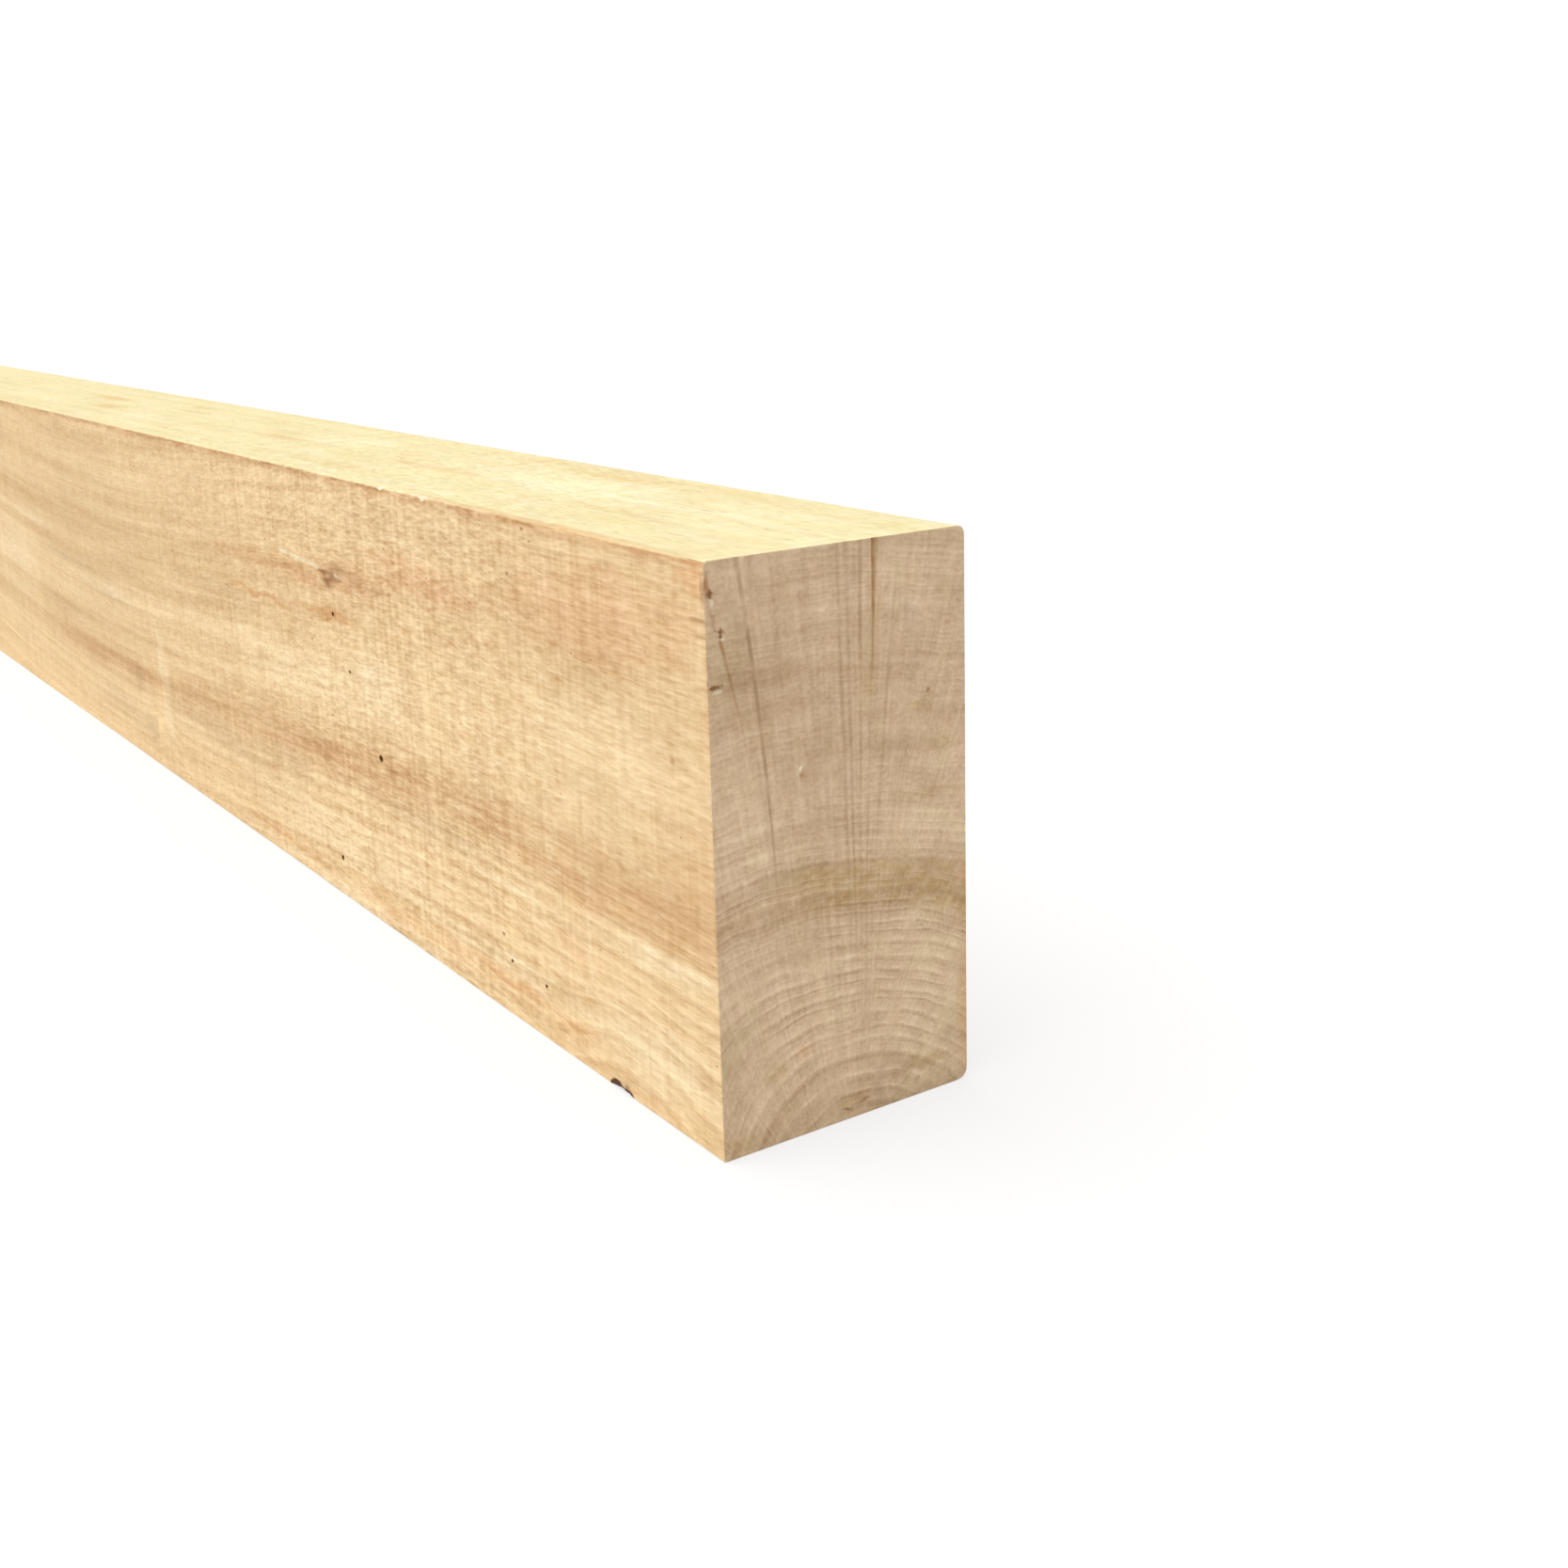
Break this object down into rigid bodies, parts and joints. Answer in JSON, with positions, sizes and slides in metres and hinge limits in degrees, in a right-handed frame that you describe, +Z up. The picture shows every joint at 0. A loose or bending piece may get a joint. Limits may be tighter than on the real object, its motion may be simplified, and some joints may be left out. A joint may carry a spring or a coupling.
{
  "type": "oak beam",
  "caption": "Sawn green oak beam of rectangular section, with drying checks on one end, that spans or carries load and is cut, bored or jointed to suit.",
  "frame": {"origin": "centre of the beam's footprint, on the surface that it stands on", "axes": "+X along the beam, towards the cut end with the drying checks; +Y across the narrow section, towards the back wide side; +Z up the wide sides, so the beam stands on its narrow edge"},
  "size_m": [2.4, 0.104, 0.2],
  "materials": {
    "sawn_oak": "fresh sawn, matte"
  },
  "bodies": {
    "root": {"oak_beam": "sawn_oak"}
  },
  "joints": []
}
